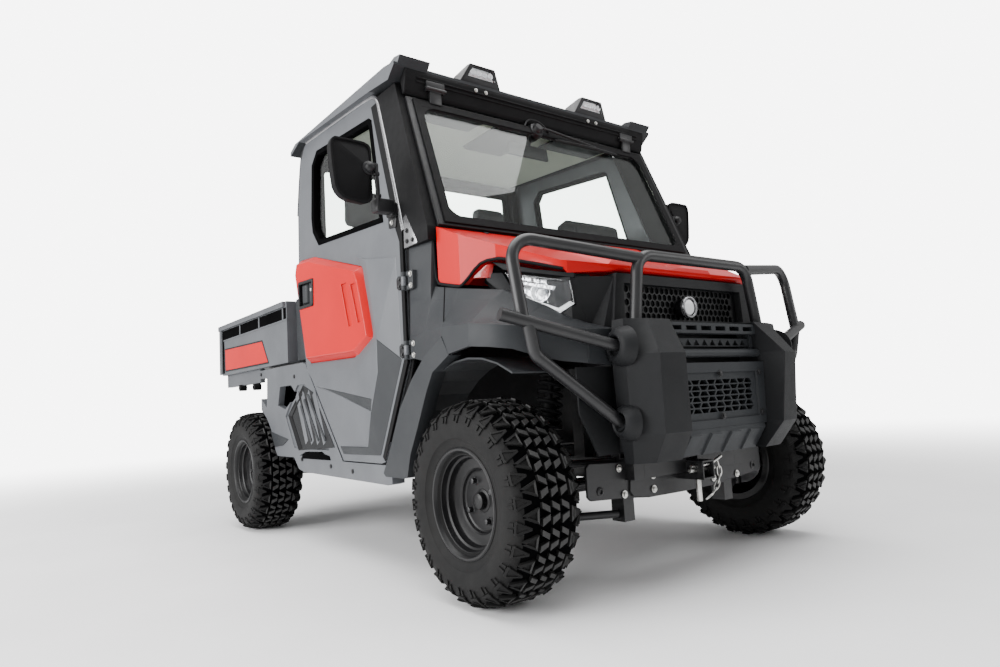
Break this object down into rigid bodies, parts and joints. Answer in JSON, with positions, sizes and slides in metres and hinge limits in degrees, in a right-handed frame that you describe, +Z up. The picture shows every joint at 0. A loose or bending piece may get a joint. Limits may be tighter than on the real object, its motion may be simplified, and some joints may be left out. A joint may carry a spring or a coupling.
{
  "type": "side by side utility vehicle",
  "caption": "Side by side utility vehicle with an enclosed cab, steered front wheels, hinged doors and hood, tube front guard and a tipping cargo bed with a drop tailgate.",
  "frame": {"origin": "on the floor under the middle of the overall length and width", "axes": "+X towards the front, +Y to the vehicle's left, +Z up"},
  "size_m": [3.261, 2.024, 2.031],
  "materials": {
    "tyre": "worn_satin",
    "wheel_black": "gloss",
    "frame_black": "satin",
    "body_charcoal": "satin grained",
    "body_red": "gloss",
    "trim_black": "satin",
    "glass_clear": "clear",
    "lamp_clear": "clear",
    "lamp_red": "gloss",
    "headliner_cream": "soft",
    "seat_vinyl": "satin",
    "cast_grey": "rough",
    "zinc_steel": "satin"
  },
  "bodies": {
    "chassis": {"bull_bar": "frame_black", "cab_floor": "trim_black", "cab_frame": "frame_black", "cab_glass": "glass_clear", "cab_rear_wall": "body_charcoal", "chassis_frame": "frame_black", "corner_guards": "body_charcoal", "dashboard": "trim_black", "engine_block": "cast_grey", "front_axle": "cast_grey", "front_fascia": "trim_black", "front_fender_left": "body_charcoal", "front_fender_right": "body_charcoal", "front_receiver": "frame_black", "front_suspension": "frame_black", "grille": "trim_black", "headlights": "lamp_clear", "headliner": "headliner_cream", "lower_grille": "body_charcoal", "quarter_panel_left": "body_charcoal", "quarter_panel_right": "body_charcoal", "rear_axle": "frame_black", "roof_lamps": "lamp_clear", "roof_panel": "trim_black", "seat_backs": "seat_vinyl", "seat_base": "trim_black", "seat_cushions": "seat_vinyl", "shock_absorbers": "frame_black", "windshield_frame": "trim_black"},
    "hood": {"hood_panel": "body_red"},
    "steering_wheel": {"steering_wheel": "trim_black"},
    "bed": {"cargo_bed": "body_charcoal", "tail_lamps": "lamp_red"},
    "tailgate": {"tailgate": "body_charcoal"},
    "lift_barrel": {"lift_barrel": "frame_black"},
    "lift_rod": {"lift_rod": "zinc_steel"},
    "knuckle_left": {"knuckle_left": "cast_grey"},
    "tie_rod_left": {"tie_rod_left": "zinc_steel"},
    "wheel_front_left": {"tyre_front_left": "tyre", "rim_front_left": "wheel_black"},
    "wheel_rear_left": {"tyre_rear_left": "tyre", "rim_rear_left": "wheel_black"},
    "door_left": {"door_shell_left": "body_charcoal", "door_glass_left": "glass_clear", "door_insert_left": "body_red", "mirror_left": "trim_black"},
    "knuckle_right": {"knuckle_right": "cast_grey"},
    "tie_rod_right": {"tie_rod_right": "zinc_steel"},
    "wheel_front_right": {"tyre_front_right": "tyre", "rim_front_right": "wheel_black"},
    "wheel_rear_right": {"tyre_rear_right": "tyre", "rim_rear_right": "wheel_black"},
    "door_right": {"door_shell_right": "body_charcoal", "door_glass_right": "glass_clear", "door_insert_right": "body_red", "mirror_right": "trim_black"}
  },
  "joints": [
    {"name": "steer_left", "type": "hinge", "parent": "chassis", "child": "knuckle_left", "pos_m": [1.1545, 0.608, 0.318], "axis": [0, 0, 1], "range_deg": [-25, 25]},
    {"name": "spin_front_left", "type": "hinge", "parent": "knuckle_left", "child": "wheel_front_left", "pos_m": [1.1545, 0.703, 0.318], "axis": [0, 1, 0], "continuous": true},
    {"name": "spin_rear_left", "type": "hinge", "parent": "chassis", "child": "wheel_rear_left", "pos_m": [-0.9955, 0.703, 0.318], "axis": [0, 1, 0], "continuous": true},
    {"name": "tie_rod_left", "type": "hinge", "parent": "knuckle_left", "child": "tie_rod_left", "pos_m": [1.0585, 0.608, 0.301], "axis": [0, 0, 1], "range_deg": [-25, 25]},
    {"name": "door_left", "type": "hinge", "parent": "chassis", "child": "door_left", "pos_m": [0.7615, 0.753, 0.9], "axis": [0, 0, -1], "range_deg": [0, 65]},
    {"name": "steer_right", "type": "hinge", "parent": "chassis", "child": "knuckle_right", "pos_m": [1.1545, -0.608, 0.318], "axis": [0, 0, 1], "range_deg": [-25, 25]},
    {"name": "spin_front_right", "type": "hinge", "parent": "knuckle_right", "child": "wheel_front_right", "pos_m": [1.1545, -0.703, 0.318], "axis": [0, 1, 0], "continuous": true},
    {"name": "spin_rear_right", "type": "hinge", "parent": "chassis", "child": "wheel_rear_right", "pos_m": [-0.9955, -0.703, 0.318], "axis": [0, 1, 0], "continuous": true},
    {"name": "tie_rod_right", "type": "hinge", "parent": "knuckle_right", "child": "tie_rod_right", "pos_m": [1.0585, -0.608, 0.301], "axis": [0, 0, 1], "range_deg": [-25, 25]},
    {"name": "door_right", "type": "hinge", "parent": "chassis", "child": "door_right", "pos_m": [0.7615, -0.753, 0.9], "axis": [0, 0, 1], "range_deg": [0, 65]},
    {"name": "steering_column", "type": "hinge", "parent": "chassis", "child": "steering_wheel", "pos_m": [0.4195, 0.38, 1.245], "axis": [-0.848, 0, 0.5299], "range_deg": [-350, 350]},
    {"name": "hood_lift", "type": "hinge", "parent": "chassis", "child": "hood", "pos_m": [0.9405, 0, 1.246], "axis": [0, -1, 0], "range_deg": [0, 50]},
    {"name": "bed_tilt", "type": "hinge", "parent": "chassis", "child": "bed", "pos_m": [-1.2585, 0, 0.771], "axis": [0, -1, 0], "range_deg": [0, 45]},
    {"name": "tailgate_drop", "type": "hinge", "parent": "bed", "child": "tailgate", "pos_m": [-1.6085, 0, 0.889], "axis": [0, -1, 0], "range_deg": [0, 90]},
    {"name": "lift_swing", "type": "hinge", "parent": "chassis", "child": "lift_barrel", "pos_m": [-0.8955, 0.395, 0.37], "axis": [0, -1, 0], "range_deg": [-5, 30]},
    {"name": "lift_slide", "type": "slide", "parent": "lift_barrel", "child": "lift_rod", "axis": [0.1961, 0, 0.9806], "range_m": [0, 0.3133]}
  ],
  "couplings": [
    {"joint": "steer_right", "follows": "steer_left", "ratio": 1},
    {"joint": "steering_column", "follows": "steer_left", "ratio": 14},
    {"joint": "tie_rod_left", "follows": "steer_left", "ratio": -1},
    {"joint": "tie_rod_right", "follows": "steer_left", "ratio": -1},
    {"joint": "lift_swing", "follows": "bed_tilt", "ratio": 0.3825},
    {"joint": "lift_slide", "follows": "bed_tilt", "m_per_rad": 0.39378}
  ]
}
